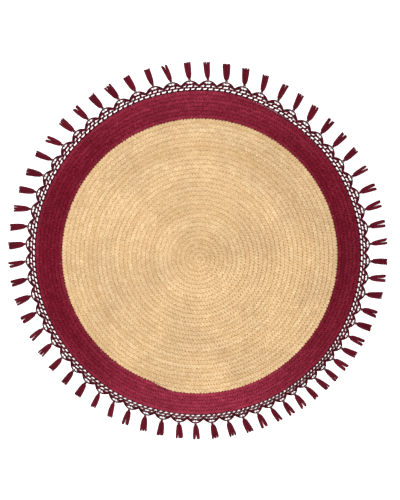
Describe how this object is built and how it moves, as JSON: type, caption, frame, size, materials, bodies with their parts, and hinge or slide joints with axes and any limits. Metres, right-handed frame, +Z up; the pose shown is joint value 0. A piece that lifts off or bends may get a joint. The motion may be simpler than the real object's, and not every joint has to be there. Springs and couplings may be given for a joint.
{
  "type": "area rug",
  "caption": "Round coiled jute-braid rug with a dyed braided border, a scalloped crocheted lace edging and a swinging tassel at each scallop.",
  "frame": {"origin": "on the underside, under the middle of the coil, on the surface that the rug lies on", "axes": "+Z up, away from the floor, the short way through the rug; X and Y across it"},
  "size_m": [1.5113, 1.5189, 0.009],
  "materials": {
    "natural_jute": "undyed braided jute, rough fibres, golden straw",
    "burgundy_jute": "burgundy-dyed braided jute, rough fibres",
    "burgundy_cotton_cord": "burgundy crocheted cord, matt with a soft sheen",
    "burgundy_tassel_yarn": "burgundy loose yarn, frayed ends"
  },
  "bodies": {
    "rug": {"natural_braid": "natural_jute", "burgundy_braid": "burgundy_jute", "foundation_cord": "burgundy_cotton_cord", "lace_net": "burgundy_cotton_cord", "scallop_cord": "burgundy_cotton_cord"},
    "tassel_01": {"tassel_01": "burgundy_tassel_yarn"},
    "tassel_02": {"tassel_02": "burgundy_tassel_yarn"},
    "tassel_03": {"tassel_03": "burgundy_tassel_yarn"},
    "tassel_04": {"tassel_04": "burgundy_tassel_yarn"},
    "tassel_05": {"tassel_05": "burgundy_tassel_yarn"},
    "tassel_06": {"tassel_06": "burgundy_tassel_yarn"},
    "tassel_07": {"tassel_07": "burgundy_tassel_yarn"},
    "tassel_08": {"tassel_08": "burgundy_tassel_yarn"},
    "tassel_09": {"tassel_09": "burgundy_tassel_yarn"},
    "tassel_10": {"tassel_10": "burgundy_tassel_yarn"},
    "tassel_11": {"tassel_11": "burgundy_tassel_yarn"},
    "tassel_12": {"tassel_12": "burgundy_tassel_yarn"},
    "tassel_13": {"tassel_13": "burgundy_tassel_yarn"},
    "tassel_14": {"tassel_14": "burgundy_tassel_yarn"},
    "tassel_15": {"tassel_15": "burgundy_tassel_yarn"},
    "tassel_16": {"tassel_16": "burgundy_tassel_yarn"},
    "tassel_17": {"tassel_17": "burgundy_tassel_yarn"},
    "tassel_18": {"tassel_18": "burgundy_tassel_yarn"},
    "tassel_19": {"tassel_19": "burgundy_tassel_yarn"},
    "tassel_20": {"tassel_20": "burgundy_tassel_yarn"},
    "tassel_21": {"tassel_21": "burgundy_tassel_yarn"},
    "tassel_22": {"tassel_22": "burgundy_tassel_yarn"},
    "tassel_23": {"tassel_23": "burgundy_tassel_yarn"},
    "tassel_24": {"tassel_24": "burgundy_tassel_yarn"},
    "tassel_25": {"tassel_25": "burgundy_tassel_yarn"},
    "tassel_26": {"tassel_26": "burgundy_tassel_yarn"},
    "tassel_27": {"tassel_27": "burgundy_tassel_yarn"},
    "tassel_28": {"tassel_28": "burgundy_tassel_yarn"},
    "tassel_29": {"tassel_29": "burgundy_tassel_yarn"},
    "tassel_30": {"tassel_30": "burgundy_tassel_yarn"},
    "tassel_31": {"tassel_31": "burgundy_tassel_yarn"},
    "tassel_32": {"tassel_32": "burgundy_tassel_yarn"},
    "tassel_33": {"tassel_33": "burgundy_tassel_yarn"},
    "tassel_34": {"tassel_34": "burgundy_tassel_yarn"},
    "tassel_35": {"tassel_35": "burgundy_tassel_yarn"},
    "tassel_36": {"tassel_36": "burgundy_tassel_yarn"},
    "tassel_37": {"tassel_37": "burgundy_tassel_yarn"},
    "tassel_38": {"tassel_38": "burgundy_tassel_yarn"},
    "tassel_39": {"tassel_39": "burgundy_tassel_yarn"},
    "tassel_40": {"tassel_40": "burgundy_tassel_yarn"},
    "tassel_41": {"tassel_41": "burgundy_tassel_yarn"},
    "tassel_42": {"tassel_42": "burgundy_tassel_yarn"},
    "tassel_43": {"tassel_43": "burgundy_tassel_yarn"},
    "tassel_44": {"tassel_44": "burgundy_tassel_yarn"},
    "tassel_45": {"tassel_45": "burgundy_tassel_yarn"},
    "tassel_46": {"tassel_46": "burgundy_tassel_yarn"},
    "tassel_47": {"tassel_47": "burgundy_tassel_yarn"},
    "tassel_48": {"tassel_48": "burgundy_tassel_yarn"},
    "tassel_49": {"tassel_49": "burgundy_tassel_yarn"},
    "tassel_50": {"tassel_50": "burgundy_tassel_yarn"}
  },
  "joints": [
    {"name": "tassel_01_swing", "type": "hinge", "parent": "rug", "child": "tassel_01", "pos_m": [0.65048, 0.19392, 0.0042], "axis": [0.3379, -0.9412, 0], "range_deg": [0, 155]},
    {"name": "tassel_02_swing", "type": "hinge", "parent": "rug", "child": "tassel_02", "pos_m": [0.66713, 0.12645, 0.0042], "axis": [0.2203, -0.9754, 0], "range_deg": [0, 155]},
    {"name": "tassel_03_swing", "type": "hinge", "parent": "rug", "child": "tassel_03", "pos_m": [0.67679, 0.0577, 0.0042], "axis": [0.1702, -0.9854, 0], "range_deg": [0, 155]},
    {"name": "tassel_04_swing", "type": "hinge", "parent": "rug", "child": "tassel_04", "pos_m": [0.6794, -0.01103, 0.0042], "axis": [0.0088, -1, 0], "range_deg": [0, 155]},
    {"name": "tassel_05_swing", "type": "hinge", "parent": "rug", "child": "tassel_05", "pos_m": [0.67518, -0.07842, 0.0042], "axis": [-0.0415, -0.9991, 0], "range_deg": [0, 155]},
    {"name": "tassel_06_swing", "type": "hinge", "parent": "rug", "child": "tassel_06", "pos_m": [0.66467, -0.14333, 0.0042], "axis": [-0.1541, -0.9881, 0], "range_deg": [0, 155]},
    {"name": "tassel_07_swing", "type": "hinge", "parent": "rug", "child": "tassel_07", "pos_m": [0.64858, -0.20487, 0.0042], "axis": [-0.2748, -0.9615, 0], "range_deg": [0, 155]},
    {"name": "tassel_08_swing", "type": "hinge", "parent": "rug", "child": "tassel_08", "pos_m": [0.62771, -0.26249, 0.0042], "axis": [-0.3134, -0.9496, 0], "range_deg": [0, 155]},
    {"name": "tassel_09_swing", "type": "hinge", "parent": "rug", "child": "tassel_09", "pos_m": [0.60282, -0.31592, 0.0042], "axis": [-0.4362, -0.8999, 0], "range_deg": [0, 155]},
    {"name": "tassel_10_swing", "type": "hinge", "parent": "rug", "child": "tassel_10", "pos_m": [0.57455, -0.36518, 0.0042], "axis": [-0.4704, -0.8825, 0], "range_deg": [0, 155]},
    {"name": "tassel_11_swing", "type": "hinge", "parent": "rug", "child": "tassel_11", "pos_m": [0.54334, -0.41049, 0.0042], "axis": [-0.5684, -0.8227, 0], "range_deg": [0, 155]},
    {"name": "tassel_12_swing", "type": "hinge", "parent": "rug", "child": "tassel_12", "pos_m": [0.50942, -0.45218, 0.0042], "axis": [-0.6265, -0.7795, 0], "range_deg": [0, 155]},
    {"name": "tassel_13_swing", "type": "hinge", "parent": "rug", "child": "tassel_13", "pos_m": [0.47279, -0.49061, 0.0042], "axis": [-0.6558, -0.7549, 0], "range_deg": [0, 155]},
    {"name": "tassel_14_swing", "type": "hinge", "parent": "rug", "child": "tassel_14", "pos_m": [0.43327, -0.52608, 0.0042], "axis": [-0.6787, -0.7344, 0], "range_deg": [0, 155]},
    {"name": "tassel_15_swing", "type": "hinge", "parent": "rug", "child": "tassel_15", "pos_m": [0.39054, -0.55876, 0.0042], "axis": [-0.779, -0.627, 0], "range_deg": [0, 155]},
    {"name": "tassel_16_swing", "type": "hinge", "parent": "rug", "child": "tassel_16", "pos_m": [0.34425, -0.58863, 0.0042], "axis": [-0.8178, -0.5755, 0], "range_deg": [0, 155]},
    {"name": "tassel_17_swing", "type": "hinge", "parent": "rug", "child": "tassel_17", "pos_m": [0.29406, -0.61545, 0.0042], "axis": [-0.8373, -0.5468, 0], "range_deg": [0, 155]},
    {"name": "tassel_18_swing", "type": "hinge", "parent": "rug", "child": "tassel_18", "pos_m": [0.23977, -0.63879, 0.0042], "axis": [-0.8616, -0.5076, 0], "range_deg": [0, 155]},
    {"name": "tassel_19_swing", "type": "hinge", "parent": "rug", "child": "tassel_19", "pos_m": [0.18137, -0.65797, 0.0042], "axis": [-0.9167, -0.3995, 0], "range_deg": [0, 155]},
    {"name": "tassel_20_swing", "type": "hinge", "parent": "rug", "child": "tassel_20", "pos_m": [0.11914, -0.67226, 0.0042], "axis": [-0.9534, -0.3017, 0], "range_deg": [0, 155]},
    {"name": "tassel_21_swing", "type": "hinge", "parent": "rug", "child": "tassel_21", "pos_m": [0.05365, -0.68085, 0.0042], "axis": [-0.9614, -0.2751, 0], "range_deg": [0, 155]},
    {"name": "tassel_22_swing", "type": "hinge", "parent": "rug", "child": "tassel_22", "pos_m": [-0.01418, -0.68305, 0.0042], "axis": [-0.9959, -0.0905, 0], "range_deg": [0, 155]},
    {"name": "tassel_23_swing", "type": "hinge", "parent": "rug", "child": "tassel_23", "pos_m": [-0.0832, -0.67835, 0.0042], "axis": [-0.9965, -0.0831, 0], "range_deg": [0, 155]},
    {"name": "tassel_24_swing", "type": "hinge", "parent": "rug", "child": "tassel_24", "pos_m": [-0.15208, -0.66655, 0.0042], "axis": [-0.9976, 0.0698, 0], "range_deg": [0, 155]},
    {"name": "tassel_25_swing", "type": "hinge", "parent": "rug", "child": "tassel_25", "pos_m": [-0.21949, -0.64774, 0.0042], "axis": [-0.984, 0.1779, 0], "range_deg": [0, 155]},
    {"name": "tassel_26_swing", "type": "hinge", "parent": "rug", "child": "tassel_26", "pos_m": [-0.28465, -0.62213, 0.0042], "axis": [-0.9622, 0.2723, 0], "range_deg": [0, 155]},
    {"name": "tassel_27_swing", "type": "hinge", "parent": "rug", "child": "tassel_27", "pos_m": [-0.34688, -0.58998, 0.0042], "axis": [-0.9393, 0.3431, 0], "range_deg": [0, 155]},
    {"name": "tassel_28_swing", "type": "hinge", "parent": "rug", "child": "tassel_28", "pos_m": [-0.40551, -0.55163, 0.0042], "axis": [-0.9241, 0.3821, 0], "range_deg": [0, 155]},
    {"name": "tassel_29_swing", "type": "hinge", "parent": "rug", "child": "tassel_29", "pos_m": [-0.45994, -0.50746, 0.0042], "axis": [-0.8504, 0.5261, 0], "range_deg": [0, 155]},
    {"name": "tassel_30_swing", "type": "hinge", "parent": "rug", "child": "tassel_30", "pos_m": [-0.50958, -0.45795, 0.0042], "axis": [-0.8207, 0.5714, 0], "range_deg": [0, 155]},
    {"name": "tassel_31_swing", "type": "hinge", "parent": "rug", "child": "tassel_31", "pos_m": [-0.55392, -0.40361, 0.0042], "axis": [-0.7655, 0.6434, 0], "range_deg": [0, 155]},
    {"name": "tassel_32_swing", "type": "hinge", "parent": "rug", "child": "tassel_32", "pos_m": [-0.59248, -0.34499, 0.0042], "axis": [-0.679, 0.7341, 0], "range_deg": [0, 155]},
    {"name": "tassel_33_swing", "type": "hinge", "parent": "rug", "child": "tassel_33", "pos_m": [-0.62486, -0.28272, 0.0042], "axis": [-0.6182, 0.786, 0], "range_deg": [0, 155]},
    {"name": "tassel_34_swing", "type": "hinge", "parent": "rug", "child": "tassel_34", "pos_m": [-0.65072, -0.21744, 0.0042], "axis": [-0.4939, 0.8695, 0], "range_deg": [0, 155]},
    {"name": "tassel_35_swing", "type": "hinge", "parent": "rug", "child": "tassel_35", "pos_m": [-0.66977, -0.14984, 0.0042], "axis": [-0.4043, 0.9146, 0], "range_deg": [0, 155]},
    {"name": "tassel_36_swing", "type": "hinge", "parent": "rug", "child": "tassel_36", "pos_m": [-0.68182, -0.08062, 0.0042], "axis": [-0.3247, 0.9458, 0], "range_deg": [0, 155]},
    {"name": "tassel_37_swing", "type": "hinge", "parent": "rug", "child": "tassel_37", "pos_m": [-0.68673, -0.01051, 0.0042], "axis": [-0.2749, 0.9615, 0], "range_deg": [0, 155]},
    {"name": "tassel_38_swing", "type": "hinge", "parent": "rug", "child": "tassel_38", "pos_m": [-0.68445, 0.05977, 0.0042], "axis": [-0.1488, 0.9889, 0], "range_deg": [0, 155]},
    {"name": "tassel_39_swing", "type": "hinge", "parent": "rug", "child": "tassel_39", "pos_m": [-0.67499, 0.12946, 0.0042], "axis": [-0.0338, 0.9994, 0], "range_deg": [0, 155]},
    {"name": "tassel_40_swing", "type": "hinge", "parent": "rug", "child": "tassel_40", "pos_m": [-0.65845, 0.19785, 0.0042], "axis": [0.0423, 0.9991, 0], "range_deg": [0, 155]},
    {"name": "tassel_41_swing", "type": "hinge", "parent": "rug", "child": "tassel_41", "pos_m": [-0.635, 0.26422, 0.0042], "axis": [0.1608, 0.987, 0], "range_deg": [0, 155]},
    {"name": "tassel_42_swing", "type": "hinge", "parent": "rug", "child": "tassel_42", "pos_m": [-0.60488, 0.32786, 0.0042], "axis": [0.2801, 0.96, 0], "range_deg": [0, 155]},
    {"name": "tassel_43_swing", "type": "hinge", "parent": "rug", "child": "tassel_43", "pos_m": [-0.5684, 0.38811, 0.0042], "axis": [0.3327, 0.943, 0], "range_deg": [0, 155]},
    {"name": "tassel_44_swing", "type": "hinge", "parent": "rug", "child": "tassel_44", "pos_m": [-0.52593, 0.44433, 0.0042], "axis": [0.4412, 0.8974, 0], "range_deg": [0, 155]},
    {"name": "tassel_45_swing", "type": "hinge", "parent": "rug", "child": "tassel_45", "pos_m": [-0.47792, 0.49594, 0.0042], "axis": [0.5754, 0.8179, 0], "range_deg": [0, 155]},
    {"name": "tassel_46_swing", "type": "hinge", "parent": "rug", "child": "tassel_46", "pos_m": [-0.42487, 0.54238, 0.0042], "axis": [0.6347, 0.7728, 0], "range_deg": [0, 155]},
    {"name": "tassel_47_swing", "type": "hinge", "parent": "rug", "child": "tassel_47", "pos_m": [-0.36734, 0.58318, 0.0042], "axis": [0.7191, 0.6949, 0], "range_deg": [0, 155]},
    {"name": "tassel_48_swing", "type": "hinge", "parent": "rug", "child": "tassel_48", "pos_m": [-0.3059, 0.61789, 0.0042], "axis": [0.7682, 0.6402, 0], "range_deg": [0, 155]},
    {"name": "tassel_49_swing", "type": "hinge", "parent": "rug", "child": "tassel_49", "pos_m": [-0.24123, 0.64615, 0.0042], "axis": [0.8425, 0.5387, 0], "range_deg": [0, 155]},
    {"name": "tassel_50_swing", "type": "hinge", "parent": "rug", "child": "tassel_50", "pos_m": [-0.17397, 0.66765, 0.0042], "axis": [0.9164, 0.4002, 0], "range_deg": [0, 155]}
  ]
}
